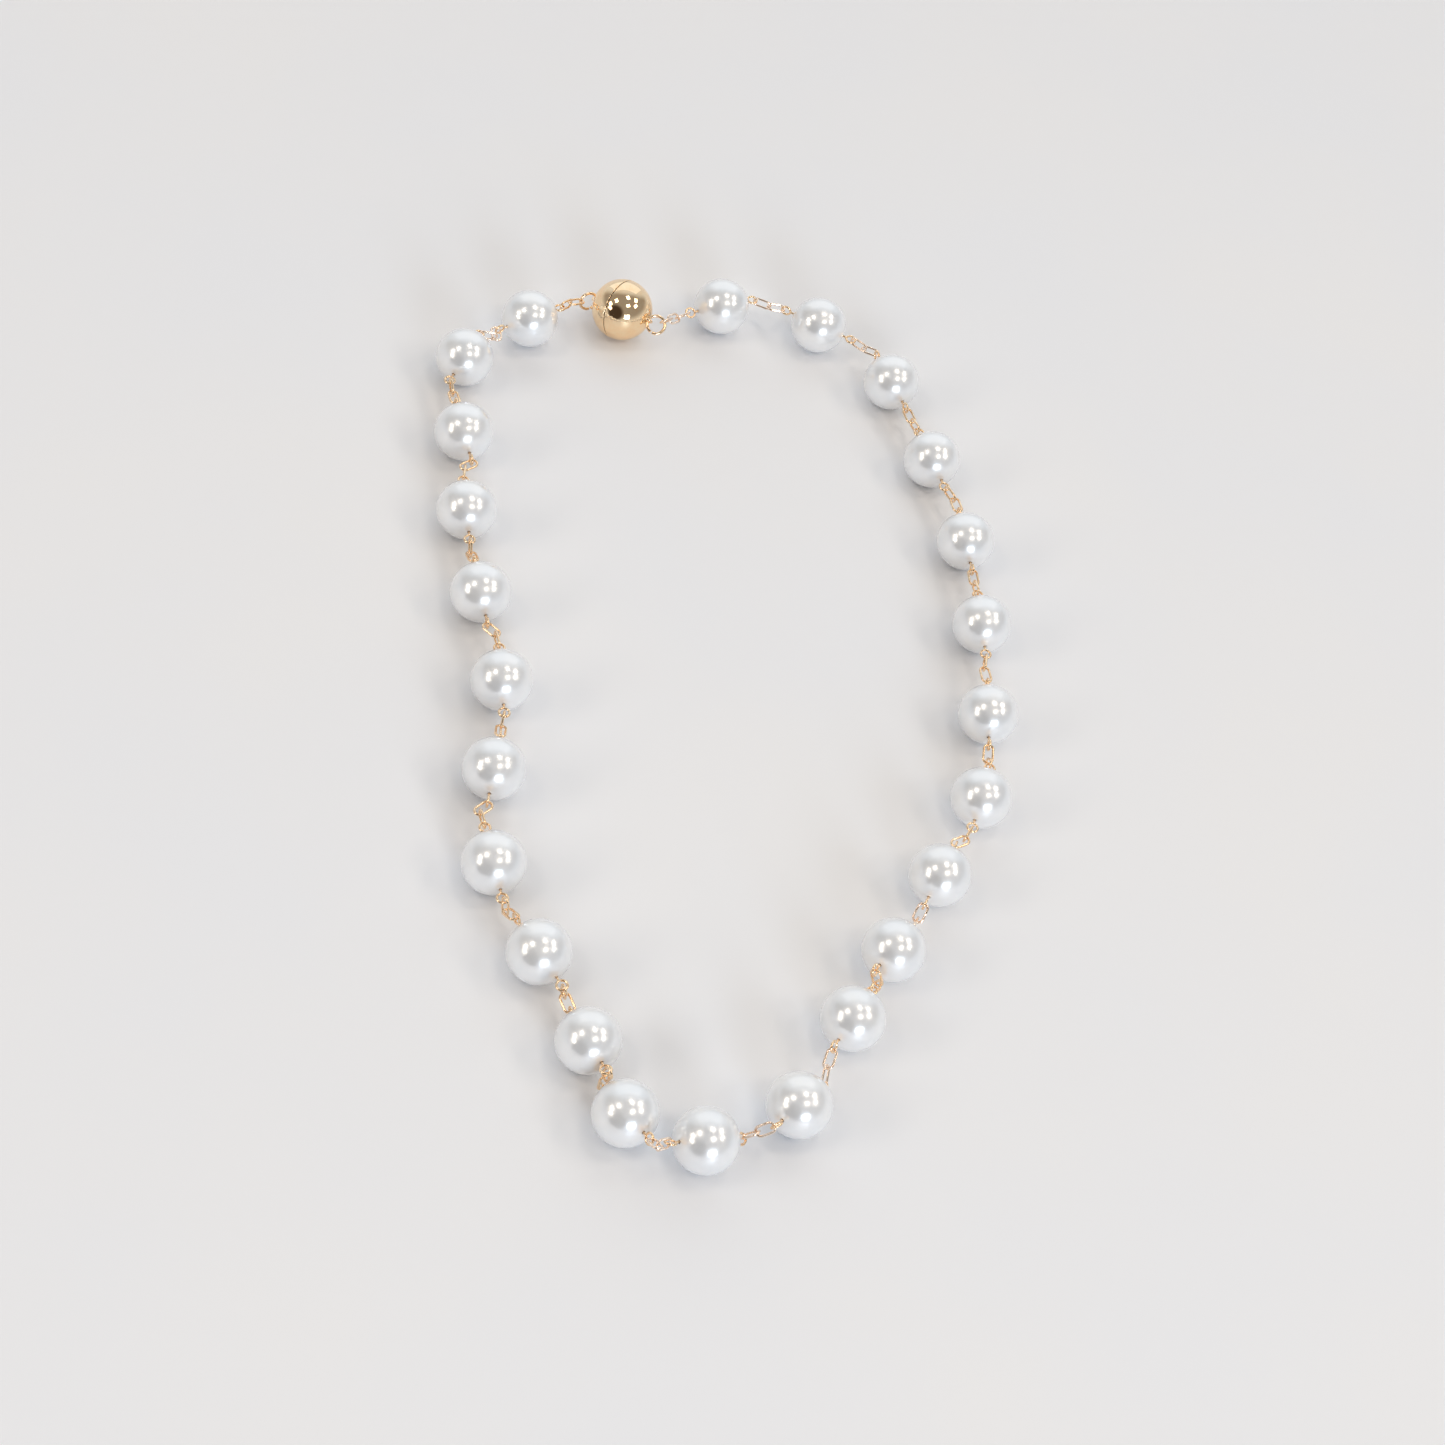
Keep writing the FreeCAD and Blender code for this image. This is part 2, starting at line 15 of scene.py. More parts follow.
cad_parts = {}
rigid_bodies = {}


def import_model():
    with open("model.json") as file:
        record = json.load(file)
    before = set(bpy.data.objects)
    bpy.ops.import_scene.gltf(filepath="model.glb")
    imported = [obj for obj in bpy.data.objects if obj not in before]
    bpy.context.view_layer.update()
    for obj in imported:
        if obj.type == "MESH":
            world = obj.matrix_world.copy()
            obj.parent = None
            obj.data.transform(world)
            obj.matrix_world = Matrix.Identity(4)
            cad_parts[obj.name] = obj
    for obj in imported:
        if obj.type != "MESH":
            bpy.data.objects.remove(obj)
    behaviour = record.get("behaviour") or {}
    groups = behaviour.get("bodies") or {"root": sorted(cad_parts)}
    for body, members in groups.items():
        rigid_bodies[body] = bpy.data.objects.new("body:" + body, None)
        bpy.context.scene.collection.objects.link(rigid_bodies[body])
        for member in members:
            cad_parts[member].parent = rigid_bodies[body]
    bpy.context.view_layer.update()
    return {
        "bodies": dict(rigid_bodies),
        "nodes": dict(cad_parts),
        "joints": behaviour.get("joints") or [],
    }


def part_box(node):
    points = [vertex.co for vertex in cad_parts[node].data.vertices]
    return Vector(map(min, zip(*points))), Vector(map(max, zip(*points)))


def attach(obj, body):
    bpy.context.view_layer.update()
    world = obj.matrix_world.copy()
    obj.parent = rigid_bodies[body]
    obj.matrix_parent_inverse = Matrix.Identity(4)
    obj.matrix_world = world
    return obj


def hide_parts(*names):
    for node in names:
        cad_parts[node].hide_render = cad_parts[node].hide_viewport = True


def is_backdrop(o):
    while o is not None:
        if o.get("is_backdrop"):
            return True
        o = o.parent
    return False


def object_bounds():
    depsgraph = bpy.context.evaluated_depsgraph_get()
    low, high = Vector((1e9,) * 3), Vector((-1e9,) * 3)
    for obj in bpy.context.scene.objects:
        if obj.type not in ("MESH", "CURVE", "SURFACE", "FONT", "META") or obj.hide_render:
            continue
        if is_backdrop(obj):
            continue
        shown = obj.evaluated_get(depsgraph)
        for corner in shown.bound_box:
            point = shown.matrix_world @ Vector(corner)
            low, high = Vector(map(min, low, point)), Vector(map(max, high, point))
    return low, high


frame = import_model()

MM = 0.001
UP = np.array([0.0, 0.0, 1.0])
# CAD vertices nearer than this are one vertex
WELD = 1e-7

# Beads: the drilled hole, the rounding of its mouth, how deep the bore shows, and facets
BEAD_HOLE = 0.60 * MM
BEAD_RIM = 0.10 * MM
BEAD_BORE = 0.5
BEAD_TURNS = 96
BEAD_RINGS = 56
RIM_RINGS = 5
# Wire: facets round it, steps along a straight side and round a half circle, rounding of a cut end
WIRE_SIDES = 20
RUN_STEPS = 15
BOW_STEPS = 26
EYE_STEPS = 64
RING_STEPS = 90
CUT_CHAMFER = 0.05 * MM
# A pin's eye: room between its end and its neck in degrees, length of the bend that leads into it,
# that bend's course as (back along the pin, across it) in bend lengths, and where the eye is read
EYE_GAP = 14.0
EYE_BEND = 0.45 * MM
BEND_COURSE = ((0.90, 0.0), (0.45, 0.0), (0.12, 0.12), (-0.04, 0.50))
EYE_CLEAR = 0.60 * MM
# A link's butt joint: half length of its groove and the groove's share of the wire's radius
LINK_SEAM = 0.07 * MM
LINK_SEAM_DEPTH = 0.10
# Links given a paler gold as painted reflection of the bright room, by the station they lead to. The
# ones after the last station are too
PAINTED_SHEEN_STATIONS = (2, 12, 13, 14, 16, 23, 24)
# Clasp: wall and rolled edge of a half ball, solder round its eye, facets
BALL_TURNS = 144
BALL_RINGS = 48
LIP_RINGS = 6
SHELL_WALL = 0.50 * MM
SHELL_EDGE = 0.09 * MM
SOLDER_RADIUS = 0.95 * MM
SOLDER_HEIGHT = 0.22 * MM
SOLDER_SUNK = 0.10 * MM
SOLDER_RINGS = 12
SOLDER_TURNS = 48
# Camera: where it looks, how far off and from which side, in metres and degrees
CAMERA_AIM = (-0.0036, -0.0066, 0.0)
CAMERA_DISTANCE = 0.5028
CAMERA_SIDE = (-115.5, 50.2)
CAMERA_ROLL = 20.1
CAMERA_LENS = 69.8
CAMERA_SENSOR = 36.0
CAMERA_NEAR = 0.01
# Floor: side of the board and its cells along a side
FLOOR_SIZE = 4.0
FLOOR_CELLS = 8
# The room: a dim warm grey, then patches over it, each with its azimuth and elevation, the half
# angles where it is full and where it ends, and its colour. They are the pale low surroundings, the
# bright far wall, and the dark shape of whoever stands at the table
ROOM = (0.32, 0.31, 0.30)
ROOM_PATCHES = (
    (0, -90, 88, 112, (0.74, 0.76, 0.79)),
    (79, 25, 36, 60, (0.74, 0.78, 0.82)),
    (-133, 21, 20, 36, (0.06, 0.045, 0.035)),
)
# Lights: name, azimuth, elevation, distance, size, watts and colour. The lamps are all of one kind
COOL = (0.78, 0.88, 1.0)
NEUTRAL = (0.94, 0.97, 1.0)
WARM = (1.0, 0.90, 0.78)
LAMP_SIZE = (0.35, 0.27)
LAMP_WATTS = 1.65
LAMP_FAR = 1.5
LIGHTS = (
    ("window", -84, 18, 2.0, (0.70, 0.53), 14, COOL),
    ("softbox", 79, 33, 1.6, (2.0, 1.3), 2.5, NEUTRAL),
    ("lamp_left_1", 182, 33, LAMP_FAR, LAMP_SIZE, LAMP_WATTS, WARM),
    ("lamp_left_2", 184, 57, LAMP_FAR, LAMP_SIZE, LAMP_WATTS, WARM),
    ("lamp_left_3", -165, 24, LAMP_FAR, LAMP_SIZE, LAMP_WATTS, WARM),
    ("lamp_top_1", 20, 80, LAMP_FAR, LAMP_SIZE, LAMP_WATTS, WARM),
    ("lamp_top_2", 0, 52, LAMP_FAR, LAMP_SIZE, LAMP_WATTS, WARM),
    ("lamp_top_3", -72, 61, LAMP_FAR, LAMP_SIZE, LAMP_WATTS, WARM),
    ("lamp_top_4", -28, 45, LAMP_FAR, LAMP_SIZE, LAMP_WATTS, WARM),
)
# Materials. Most values of a noise lie between these two
NOISE_LOW = 0.3
NOISE_HIGH = 0.7
# Pearl lacquer: share of metallic mica, refraction, and weight, roughness and refraction of its coat
PEARL_MICA = 0.40
PEARL_IOR = 1.6
COAT_WEIGHT = 0.5
COAT_ROUGHNESS = 0.13
COAT_IOR = 1.55
PEARL_CLOUD = (
    (0.30, (0.87, 0.895, 0.92)),
    (0.50, (0.90, 0.91, 0.925)),
    (0.72, (0.92, 0.92, 0.915)),
)
# Gold by use: name, light tone, deep tone, roughness where smooth and where rough
GOLDS = {
    "wire": ("gold_wire", (0.98, 0.77, 0.53), (0.90, 0.60, 0.36), 0.06, 0.14),
    # The paler wire gold is a painted reflection: lighter metal that stands in for the bright room
    # mirrored in some links
    "painted_sheen_wire": ("gold_wire_painted_sheen", (0.98, 0.84, 0.71), (0.90, 0.69, 0.54), 0.06, 0.14),
    "ball": ("gold_ball", (1.0, 0.77, 0.50), (0.98, 0.69, 0.41), 0.03, 0.08),
    "solder": ("gold_solder", (0.86, 0.62, 0.34), (0.70, 0.48, 0.24), 0.28, 0.42),
}
NICKEL = ((0.35, (0.58, 0.58, 0.60)), (0.65, (0.70, 0.70, 0.71)))
BOARD = ((0.35, (0.848, 0.857, 0.886)), (0.65, (0.864, 0.864, 0.878)))


def unit(vector):
    """The vector made one long."""
    vector = np.asarray(vector, float)
    return vector / np.linalg.norm(vector)


def square_to(vector, along):
    """The part of a vector that is square to a unit vector, made unit."""
    return unit(vector - along * np.dot(vector, along))


def way(azimuth, elevation):
    """Unit vector from an azimuth from +X and an elevation, in degrees."""
    a, e = math.radians(azimuth), math.radians(elevation)
    return np.array([math.cos(e) * math.cos(a), math.cos(e) * math.sin(a), math.sin(e)])


# ---------------------------------------------------------------- reading the frame

def joint_of(child):
    """The joint that carries a body."""
    return next(joint for joint in frame["joints"] if joint["child"] == child)


class Island:
    """One closed solid of a CAD mesh, with the area-weighted middle and axes of its skin."""

    def __init__(self, faces):
        self.areas = np.array([face.calc_area() for face in faces])
        self.spots = np.array([face.calc_center_median() for face in faces])
        self.points = np.array([vert.co for face in faces for vert in face.verts])
        self.middle, self.axes = skin_axes(self.spots, self.areas)

    def extent(self, axis, origin):
        """Lowest and highest reach of the solid along an axis."""
        along = (self.points - origin) @ axis
        return along.min(), along.max()


def skin_axes(spots, areas):
    """Middle of a skin and its principal axes, longest first."""
    middle = np.average(spots, axis=0, weights=areas)
    spread = spots - middle
    _, vectors = np.linalg.eigh((spread * areas[:, None]).T @ spread)
    return middle, vectors.T[::-1]


def islands(node):
    """The separate closed solids of a CAD node, largest skin first."""
    mesh = bmesh.new()
    mesh.from_mesh(frame["nodes"][node].data)
    bmesh.ops.remove_doubles(mesh, verts=mesh.verts, dist=WELD)
    seen = set()
    found = []
    for start in mesh.faces:
        if start in seen:
            continue
        seen.add(start)
        group = [start]
        for face in group:
            near = [other for edge in face.edges for other in edge.link_faces]
            fresh = [other for count, other in enumerate(near)
                     if other not in seen and other not in near[:count]]
            seen.update(fresh)
            group += fresh
        found.append(Island(group))
    mesh.free()
    return sorted(found, key=lambda island: -island.areas.sum())


def ring_on(island, base, axis, from_reach):
    """Centre, normal, mean radius and wire radius of an eye at the far end of a solid."""
    near = (island.spots - base) @ axis > from_reach
    _, axes = skin_axes(island.spots[near], island.areas[near])
    normal = square_to(axes[2], axis)
    across = np.cross(normal, axis)
    _, far = island.extent(axis, base)
    eye_points = island.points[(island.points - base) @ axis > from_reach]
    outer = ((eye_points - base) @ across).max()
    thick = ((eye_points - base) @ normal).max()
    return base + axis * (far - outer), normal, outer - thick, thick


# ---------------------------------------------------------------- mesh makers

def finished(name, mesh, body, material):
    """A bmesh made into a smooth-shaded piece that rides on a body."""
    bmesh.ops.recalc_face_normals(mesh, faces=mesh.faces)
    data = bpy.data.meshes.new(name)
    mesh.to_mesh(data)
    mesh.free()
    data.shade_smooth()
    data.materials.append(material)
    piece = bpy.data.objects.new(name, data)
    bpy.context.scene.collection.objects.link(piece)
    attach(piece, body)
    return piece


def skin_rings(mesh, rings, closed):
    """Quads between rings of vertices; a ring of one vertex is a pole."""
    pairs = list(zip(rings, rings[1:] + rings[:1])) if closed else list(zip(rings, rings[1:]))
    for first, second in pairs:
        count = max(len(first), len(second))
        for spot in range(count):
            after = (spot + 1) % count
            if len(first) == 1:
                mesh.faces.new((first[0], second[after], second[spot]))
            elif len(second) == 1:
                mesh.faces.new((first[spot], first[after], second[0]))
            else:
                mesh.faces.new((first[spot], first[after], second[after], second[spot]))


def arc(centre, first, second, radius, start, stop, count):
    """Points on a circle from start to stop, in degrees from first towards second."""
    angles = np.radians(np.linspace(start, stop, count))[:, None]
    return centre + radius * (np.cos(angles) * first + np.sin(angles) * second)


def lathe(profile, origin, axis, turns, closed):
    """A profile of (along, radius) pairs turned about an axis."""
    side = square_to(UP, axis)
    other = np.cross(axis, side)
    mesh = bmesh.new()
    rings = []
    for along, radius in profile:
        circle = arc(origin + axis * along, side, other, radius, 0, 360, turns + 1)[:-1]
        rings.append([mesh.verts.new(point) for point in (circle if radius > 0 else circle[:1])])
    skin_rings(mesh, rings, closed)
    return mesh


def sweep(path, radii, first_side, closed):
    """A round wire along a path. first_side is square to the path's start."""
    if closed:
        tangents = np.roll(path, -1, axis=0) - np.roll(path, 1, axis=0)
    else:
        tangents = np.gradient(path, axis=0)
    mesh = bmesh.new()
    rings = []
    side = unit(first_side)
    for spot, tangent, radius in zip(path, tangents, radii):
        tangent = unit(tangent)
        side = square_to(side, tangent)
        circle = arc(spot, side, np.cross(tangent, side), radius, 0, 360, WIRE_SIDES + 1)[:-1]
        rings.append([mesh.verts.new(point) for point in circle])
    skin_rings(mesh, rings, closed)
    if not closed:
        mesh.faces.new(rings[0][::-1])
        mesh.faces.new(rings[-1])
    return mesh


def cut_ends(path, radius):
    """Radii of an open wire whose cut ends are slightly rounded off."""
    steps = np.linalg.norm(np.diff(path, axis=0), axis=1)
    along = np.concatenate([[0.0], np.cumsum(steps)])
    to_end = np.minimum(along, along[-1] - along)
    return radius - CUT_CHAMFER * np.clip(1 - to_end / CUT_CHAMFER, 0, 1)


def with_close_ends(path):
    """The path with an extra point just inside each end, for a crisp cut."""
    first = path[0] + unit(path[1] - path[0]) * CUT_CHAMFER
    last = path[-1] + unit(path[-2] - path[-1]) * CUT_CHAMFER
    return np.vstack([path[:1], first, path[1:-1], last, path[-1:]])


# ---------------------------------------------------------------- materials

class Nodes:
    """A short way to write a shader tree."""

    def __init__(self, tree):
        self.tree = tree

    def add(self, kind, **settings):
        node = self.tree.nodes.new(kind)
        for name, value in settings.items():
            setattr(node, name, value)
        return node

    def link(self, output, entry):
        self.tree.links.new(output, entry)

    def noise(self, scale, detail, roughness=0.5):
        place = self.add("ShaderNodeTexCoord")
        noise = self.add("ShaderNodeTexNoise")
        noise.inputs["Scale"].default_value = scale
        noise.inputs["Detail"].default_value = detail
        noise.inputs["Roughness"].default_value = roughness
        self.link(place.outputs["Object"], noise.inputs["Vector"])
        return noise.outputs["Fac"]

    def ramp(self, value, stops):
        ramp = self.add("ShaderNodeValToRGB")
        points = ramp.color_ramp.elements
        while len(points) < len(stops):
            points.new(0.5)
        for point, (position, colour) in zip(points, stops):
            point.position = position
            point.color = (*colour, 1.0)
        self.link(value, ramp.inputs["Fac"])
        return ramp.outputs["Color"]

    def spread(self, value, low, high):
        """The value's middle range stretched to run from low to high."""
        remap = self.add("ShaderNodeMapRange")
        remap.inputs["From Min"].default_value = NOISE_LOW
        remap.inputs["From Max"].default_value = NOISE_HIGH
        remap.inputs["To Min"].default_value = low
        remap.inputs["To Max"].default_value = high
        self.link(value, remap.inputs["Value"])
        return remap.outputs["Result"]

    def bump(self, value, strength, distance, under=None):
        bump = self.add("ShaderNodeBump")
        bump.inputs["Strength"].default_value = strength
        bump.inputs["Distance"].default_value = distance
        self.link(value, bump.inputs["Height"])
        if under:
            self.link(under, bump.inputs["Normal"])
        return bump.outputs["Normal"]


def new_material(name):
    """A new node material, its tree and its main shader."""
    material = bpy.data.materials.new(name)
    material.use_nodes = True
    nodes = Nodes(material.node_tree)
    shader = material.node_tree.nodes["Principled BSDF"]
    return material, nodes, shader


def pearl_material():
    """White pearlescent lacquer: cloudy mica under a hard clear coat."""
    material, nodes, shader = new_material("pearl_lacquer")
    cloud = nodes.noise(260, 4, 0.55)
    shader.inputs["Metallic"].default_value = PEARL_MICA
    shader.inputs["IOR"].default_value = PEARL_IOR
    shader.inputs["Coat Weight"].default_value = COAT_WEIGHT
    shader.inputs["Coat Roughness"].default_value = COAT_ROUGHNESS
    shader.inputs["Coat IOR"].default_value = COAT_IOR
    nodes.link(nodes.ramp(cloud, PEARL_CLOUD), shader.inputs["Base Color"])
    nodes.link(nodes.spread(nodes.noise(900, 3), 0.20, 0.27), shader.inputs["Roughness"])
    nodes.link(nodes.bump(nodes.noise(420, 2), 0.03, 0.00005), shader.inputs["Normal"])
    return material


def gold_material(name, light, deep, smooth, rough):
    """Gold plate or solder with fine wiping marks and a little unevenness in its surface."""
    material, nodes, shader = new_material(name)
    shader.inputs["Metallic"].default_value = 1.0
    tone = nodes.ramp(nodes.noise(700, 5, 0.6), ((0.32, deep), (0.62, light)))
    nodes.link(tone, shader.inputs["Base Color"])
    nodes.link(nodes.spread(nodes.noise(2600, 4), smooth, rough), shader.inputs["Roughness"])
    marks = nodes.bump(nodes.noise(14000, 3, 0.7), 0.06, 0.00001)
    nodes.link(nodes.bump(nodes.noise(1500, 2), 0.08, 0.00003, marks), shader.inputs["Normal"])
    return material


def magnet_material():
    """Nickel-plated magnet, faintly brushed by handling."""
    material, nodes, shader = new_material("nickel_plate")
    shader.inputs["Metallic"].default_value = 1.0
    nodes.link(nodes.ramp(nodes.noise(1200, 4), NICKEL), shader.inputs["Base Color"])
    nodes.link(nodes.spread(nodes.noise(5000, 4), 0.22, 0.38), shader.inputs["Roughness"])
    nodes.link(nodes.bump(nodes.noise(12000, 3), 0.1, 0.00001), shader.inputs["Normal"])
    return material


def floor_material():
    """Pale matte board with the faintest warm and cool drift."""
    material, nodes, shader = new_material("pale_board")
    nodes.link(nodes.ramp(nodes.noise(14, 3), BOARD), shader.inputs["Base Color"])
    nodes.link(nodes.spread(nodes.noise(300, 4), 0.48, 0.60), shader.inputs["Roughness"])
    nodes.link(nodes.bump(nodes.noise(1800, 4), 0.05, 0.0001), shader.inputs["Normal"])
    return material


# ---------------------------------------------------------------- pieces

def make_bead(number, radius, centre, pin, material):
    """A round bead with a drilled hole whose mouth is softened by the lacquer."""
    hole = BEAD_HOLE / 2
    mouth = hole + BEAD_RIM
    tip = math.sqrt(radius ** 2 - mouth ** 2)
    rim = [(tip - BEAD_RIM * (1 - math.cos(a)), mouth - BEAD_RIM * math.sin(a))
           for a in np.linspace(math.pi / 2, 0, RIM_RINGS, endpoint=False)]
    start = math.asin(mouth / radius)
    skin = [(radius * math.cos(a), radius * math.sin(a))
            for a in np.linspace(start, math.pi - start, BEAD_RINGS)]
    bore = [(tip * part, hole) for part in (-BEAD_BORE, 0.0, BEAD_BORE)]
    profile = bore + rim + skin + [(-along, reach) for along, reach in rim[::-1]]
    name = "bead_%02d" % number
    mesh = lathe(profile, centre, pin, BEAD_TURNS, closed=True)
    piece = finished(name, mesh, "pearl_%02d" % number, material)
    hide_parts("pearl_%02d" % number)


def eye_path(centre, normal, mean, out):
    """From the pin's straight wire through a bend and round its eye to just short of the bend."""
    across = np.cross(normal, out)
    neck = centre - out * mean
    bend = [neck + EYE_BEND * (across * aside - out * back) for back, aside in BEND_COURSE]
    turn = arc(centre, -out, across, mean, math.degrees(EYE_BEND / mean), 360 - EYE_GAP, EYE_STEPS)
    return np.vstack([bend, turn])


def make_pin(number, radius, centre, pin, island, material):
    """One wire through the bead with a round eye turned at each end."""
    runs = []
    for out in (-pin, pin):
        spot, normal, mean, wire = ring_on(island, centre, out, radius + EYE_CLEAR)
        runs.append(eye_path(spot, normal, mean, out))
    shank = [centre + pin * radius * part for part in np.linspace(-1, 1, RUN_STEPS)]
    path = with_close_ends(np.vstack([runs[0][::-1], shank, runs[1]]))
    mesh = sweep(path, cut_ends(path, wire), np.cross(path[1] - path[0], pin), closed=False)
    piece = finished("eye_pin_%02d" % number, mesh, "station_%02d" % number, material)
    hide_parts("pin_and_links_%02d" % number)


def make_link(name, island, body, material):
    """A stadium of round wire with the butt joint's shallow groove on one straight side."""
    direction, normal = island.axes[0], island.axes[2]
    across = np.cross(normal, direction)
    low, high = island.extent(direction, island.middle)
    left, right = island.extent(across, island.middle)
    under, over = island.extent(normal, island.middle)
    centre = island.middle + direction * (low + high) / 2 + across * (left + right) / 2
    wire = (over - under) / 2
    bow = (right - left) / 2 - wire
    half = (high - low) / 2 - wire - bow
    run = np.linspace(-half, half, RUN_STEPS)
    path = np.vstack([
        [centre + direction * part - across * bow for part in run],
        arc(centre + direction * half, direction, across, bow, -90, 90, BOW_STEPS)[1:-1],
        [centre - direction * part + across * bow for part in run],
        arc(centre - direction * half, -direction, -across, bow, -90, 90, BOW_STEPS)[1:-1],
    ])
    groove = np.exp(-(((path - centre) @ direction) / LINK_SEAM) ** 2)
    one_side = ((path - centre) @ across) < 0
    radii = wire * (1 - LINK_SEAM_DEPTH * groove * one_side)
    return finished(name, sweep(path, radii, normal, closed=True), body, material)


def make_station(number, radius, materials):
    """A bead, its pin and the two links before it."""
    spin = joint_of("pearl_%02d" % number)
    centre, pin = np.array(spin["pos_m"]), unit(spin["axis"])
    solids = islands("pin_and_links_%02d" % number)
    make_bead(number, radius, centre, pin, materials["pearl"])
    make_pin(number, radius, centre, pin, solids[0], materials["wire"])
    # Links at the listed stations get the paler gold, a painted reflection of the bright room
    wire = materials["painted_sheen_wire" if number in PAINTED_SHEEN_STATIONS else "wire"]
    for count, island in enumerate(solids[1:], start=1):
        make_link("link_%02d_%d" % (number, count), island, "station_%02d" % number, wire)


def make_jump_ring(side, body, material):
    """A heavier open ring with flat cut ends at its slit."""
    node = "jump_ring_" + side
    island = islands(node)[0]
    normal = island.axes[2]
    first = island.axes[0]
    second = np.cross(normal, first)
    away = island.points - island.middle
    flat = np.column_stack([away @ first, away @ second])
    table = np.column_stack([2 * flat, np.ones(len(flat))])
    fit, *_ = np.linalg.lstsq(table, (flat ** 2).sum(1), rcond=None)
    centre = island.middle + first * fit[0] + second * fit[1]
    low, high = island.extent(normal, centre)
    wire = (high - low) / 2
    mean = np.hypot(*(flat - fit[:2]).T).max() - wire
    angles = np.sort(np.degrees(np.arctan2(flat[:, 1] - fit[1], flat[:, 0] - fit[0])))
    gaps = np.diff(np.concatenate([angles, angles[:1] + 360]))
    slit = gaps.argmax()
    path = arc(centre, first, second, mean, angles[slit] + gaps[slit], angles[slit] + 360, RING_STEPS)
    path = with_close_ends(path)
    mesh = sweep(path, cut_ends(path, wire), normal, closed=False)
    piece = finished(node + "_wire", mesh, body, material)
    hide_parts(node)


def make_half_ball(side, centre, pole, edge, outer, material):
    """A thin half ball whose edge is rolled over at the seam."""
    inner = outer - SHELL_WALL
    last = math.acos((edge + SHELL_EDGE) / outer)
    first = math.acos((edge + SHELL_EDGE) / inner)
    high, low = outer * math.sin(last) - SHELL_EDGE, inner * math.sin(first) + SHELL_EDGE
    lip = [(edge + SHELL_EDGE * (1 - math.sin(a)), SHELL_EDGE * math.cos(a))
           for a in np.linspace(0, math.pi / 2, LIP_RINGS)]
    profile = [(outer * math.cos(a), outer * math.sin(a)) for a in np.linspace(0, last, BALL_RINGS)]
    profile += [(along, high + rise) for along, rise in lip[1:]]
    profile += [(along, low - rise) for along, rise in lip[:0:-1]]
    profile += [(inner * math.cos(a), inner * math.sin(a)) for a in np.linspace(first, 0, BALL_RINGS)]
    mesh = lathe(profile, centre, pole, BALL_TURNS, closed=False)
    piece = finished("half_ball_" + side, mesh, "clasp_" + side, material)
    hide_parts("clasp_shell_" + side)


def make_clasp_eye(side, centre, pole, outer, material):
    """The wire eye on a half ball's pole, from just under the ball's skin."""
    eye = islands("clasp_eye_" + side)[0]
    spot, normal, mean, wire = ring_on(eye, centre, pole, 0.0)
    across = np.cross(normal, pole)
    path = arc(spot, -pole, across, mean, 0, 360, RING_STEPS)
    proud = np.linalg.norm(path - centre, axis=1) > outer - wire
    path = with_close_ends(path[proud])
    mesh = sweep(path, cut_ends(path, wire), normal, closed=False)
    piece = finished("clasp_eye_wire_" + side, mesh, "clasp_" + side, material)
    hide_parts("clasp_eye_" + side)


def make_solder(side, centre, pole, outer, material):
    """The low mound of solder round a clasp eye."""
    rise = [(SOLDER_HEIGHT * (1 + math.cos(math.pi * part)) / 2, SOLDER_RADIUS * part)
            for part in np.linspace(0, 1, SOLDER_RINGS)]
    top = [(math.sqrt(outer ** 2 - reach ** 2) + lift, reach) for lift, reach in rise]
    base = [(math.sqrt(outer ** 2 - reach ** 2) - SOLDER_SUNK, reach) for _, reach in rise[::-1]]
    mesh = lathe(top + base, centre, pole, SOLDER_TURNS, closed=False)
    finished("solder_" + side, mesh, "clasp_" + side, material)


def make_clasp_half(side, centre, pole, materials):
    """Half ball, wire eye and solder, and the materials of the CAD solids inside."""
    edge, outer = islands("clasp_shell_" + side)[0].extent(pole, centre)
    make_half_ball(side, centre, pole, edge, outer, materials["ball"])
    make_clasp_eye(side, centre, pole, outer, materials["wire"])
    make_solder(side, centre, pole, outer, materials["solder"])
    for node in ("clasp_face_plate_" + side, "clasp_magnet_" + side):
        cad = frame["nodes"][node].data
        cad.materials.clear()
        cad.materials.append(materials["nickel" if "magnet" in node else "ball"])


# ---------------------------------------------------------------- stage

def make_floor(material):
    """A large plain board under the necklace."""
    mesh = bmesh.new()
    bmesh.ops.create_grid(mesh, x_segments=FLOOR_CELLS, y_segments=FLOOR_CELLS, size=FLOOR_SIZE / 2)
    data = bpy.data.meshes.new("floor")
    mesh.to_mesh(data)
    mesh.free()
    data.materials.append(material)
    floor = bpy.data.objects.new("floor", data)
    bpy.context.scene.collection.objects.link(floor)
    floor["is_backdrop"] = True


def aim_at(thing, spot, target):
    """Put a thing at a spot and turn it to face the target."""
    thing.location = spot
    thing.rotation_euler = (Vector(target) - Vector(spot)).to_track_quat("-Z", "Y").to_euler()


def make_light(name, azimuth, elevation, distance, size, watts, colour):
    """A rectangular soft light that faces the necklace."""
    data = bpy.data.lights.new(name, "AREA")
    data.shape = "RECTANGLE"
    data.size, data.size_y = size
    data.energy = watts
    data.color = colour
    light = bpy.data.objects.new(name, data)
    bpy.context.scene.collection.objects.link(light)
    aim_at(light, Vector(way(azimuth, elevation) * distance), (0, 0, 0))


def make_camera():
    """The camera that matches the photo's view."""
    data = bpy.data.cameras.new("camera")
    data.sensor_width = CAMERA_SENSOR
    data.lens = CAMERA_LENS
    data.clip_start = CAMERA_NEAR
    camera = bpy.data.objects.new("camera", data)
    bpy.context.scene.collection.objects.link(camera)
    forward = -way(*CAMERA_SIDE)
    level = unit(np.cross(forward, UP))
    above = np.cross(level, forward)
    roll = math.radians(CAMERA_ROLL)
    right = level * math.cos(roll) + above * math.sin(roll)
    up = np.cross(right, forward)
    place = Matrix([right, up, -forward]).transposed().to_4x4()
    place.translation = Vector(np.array(CAMERA_AIM) - forward * CAMERA_DISTANCE)
    camera.matrix_world = place
    bpy.context.scene.camera = camera


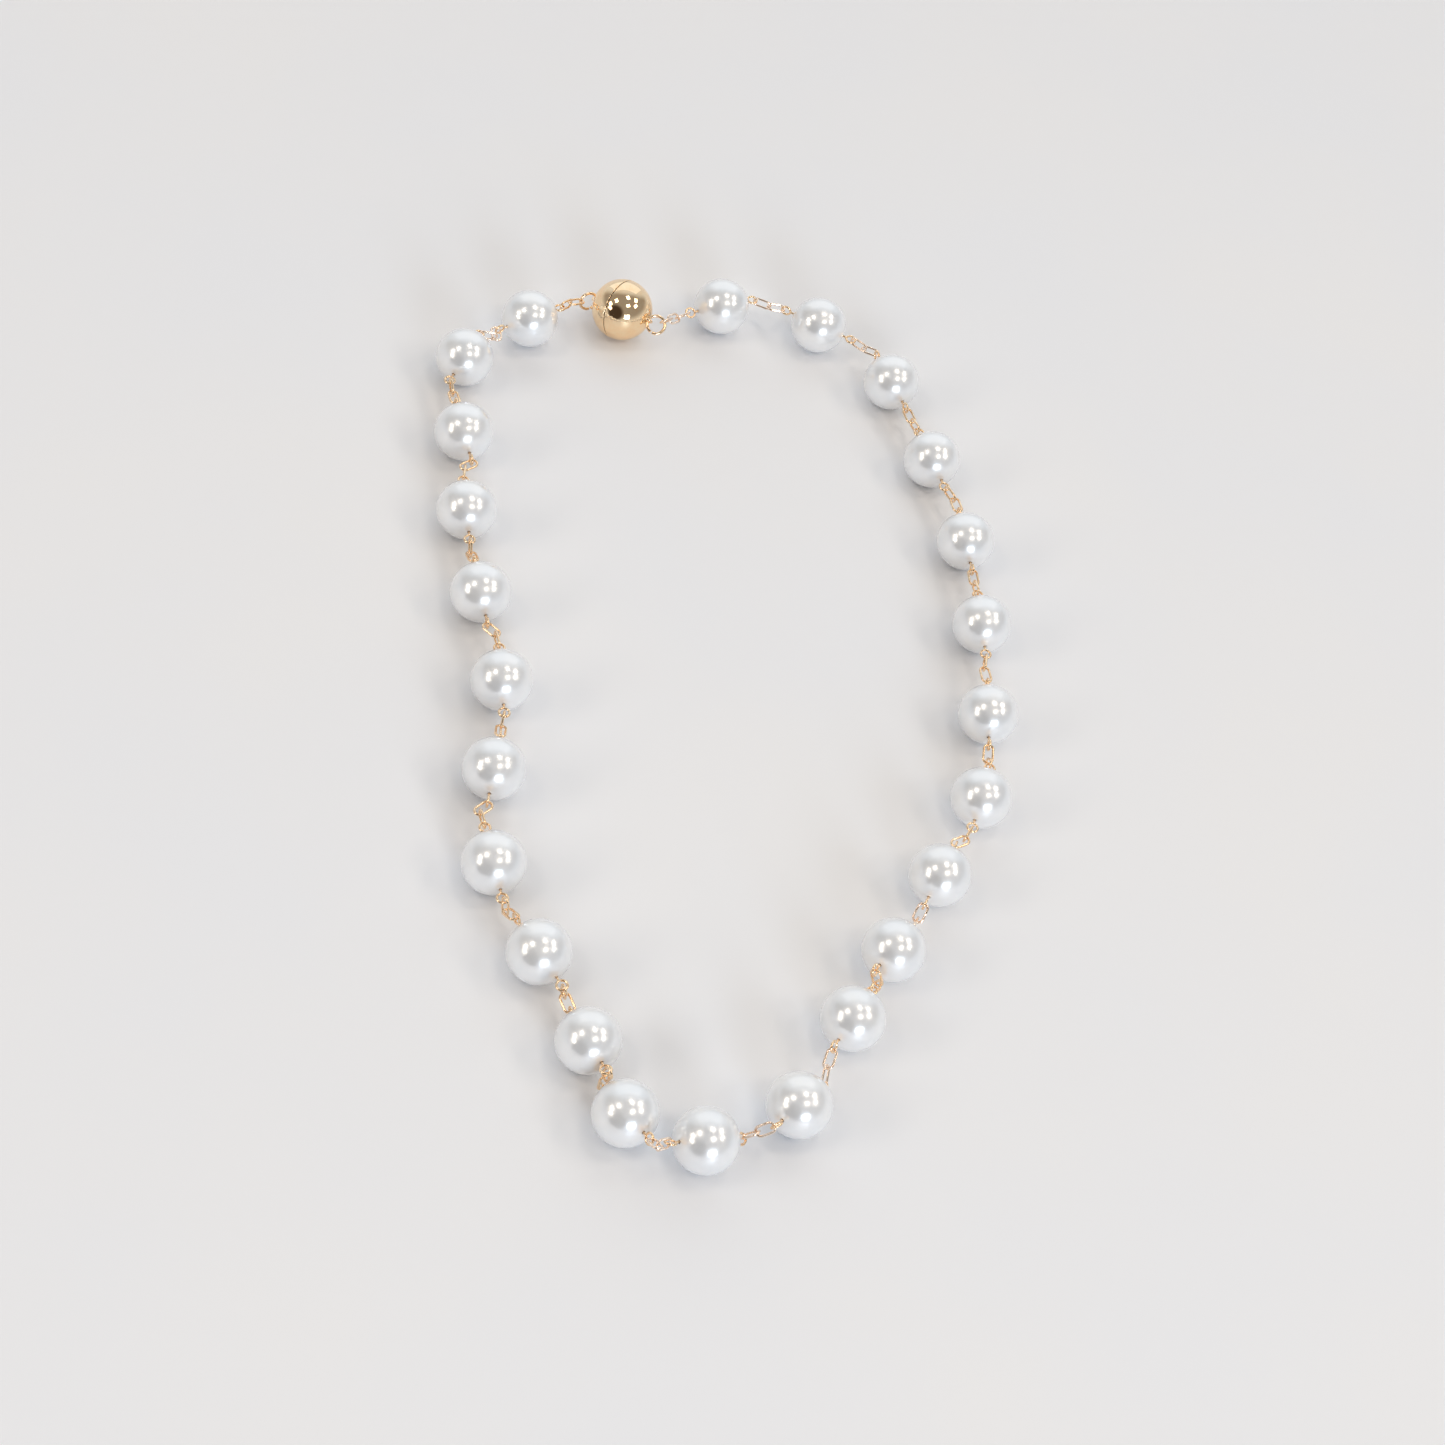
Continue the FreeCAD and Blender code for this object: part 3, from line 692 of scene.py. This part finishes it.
def make_world():
    """Colours the room by direction, patch over patch."""
    world = bpy.data.worlds.new("room")
    bpy.context.scene.world = world
    world.use_nodes = True
    nodes = Nodes(world.node_tree)
    place = nodes.add("ShaderNodeTexCoord")
    under = None
    for azimuth, elevation, inside, outside, colour in ROOM_PATCHES:
        dot = nodes.add("ShaderNodeVectorMath", operation="DOT_PRODUCT")
        dot.inputs[1].default_value = way(azimuth, elevation)
        nodes.link(place.outputs["Generated"], dot.inputs[0])
        remap = nodes.add("ShaderNodeMapRange", interpolation_type="SMOOTHSTEP")
        remap.inputs["From Min"].default_value = math.cos(math.radians(outside))
        remap.inputs["From Max"].default_value = math.cos(math.radians(inside))
        nodes.link(dot.outputs["Value"], remap.inputs["Value"])
        mix = nodes.add("ShaderNodeMixRGB")
        mix.inputs["Color1"].default_value = (*ROOM, 1)
        mix.inputs["Color2"].default_value = (*colour, 1)
        nodes.link(remap.outputs["Result"], mix.inputs["Fac"])
        if under:
            nodes.link(under, mix.inputs["Color1"])
        under = mix.outputs["Color"]
    nodes.link(under, world.node_tree.nodes["Background"].inputs["Color"])


def main():
    materials = {"pearl": pearl_material()}
    materials.update((use, gold_material(*values)) for use, values in GOLDS.items())
    materials["nickel"] = magnet_material()
    make_camera()
    low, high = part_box("pearl_01")
    radius = (high.z - low.z) / 2
    stations = [body for body in frame["bodies"] if body.startswith("station_")]
    for number in range(1, len(stations) + 1):
        make_station(number, radius, materials)
    for count, island in enumerate(islands("end_links_right"), start=1):
        # The end links get the paler gold, a painted reflection of the bright room
        piece = make_link("link_end_%d" % count, island, "chain_right", materials["painted_sheen_wire"])
        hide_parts("end_links_right")
    make_jump_ring("left", "ring_left", materials["wire"])
    make_jump_ring("right", "chain_right", materials["wire"])
    swivel = joint_of("clasp_right")
    centre, axis = np.array(swivel["pos_m"]), unit(swivel["axis"])
    make_clasp_half("left", centre, -axis, materials)
    make_clasp_half("right", centre, axis, materials)
    make_floor(floor_material())
    make_world()
    for light in LIGHTS:
        make_light(*light)
    bpy.context.scene.view_settings.view_transform = "Standard"
    low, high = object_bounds()


main()
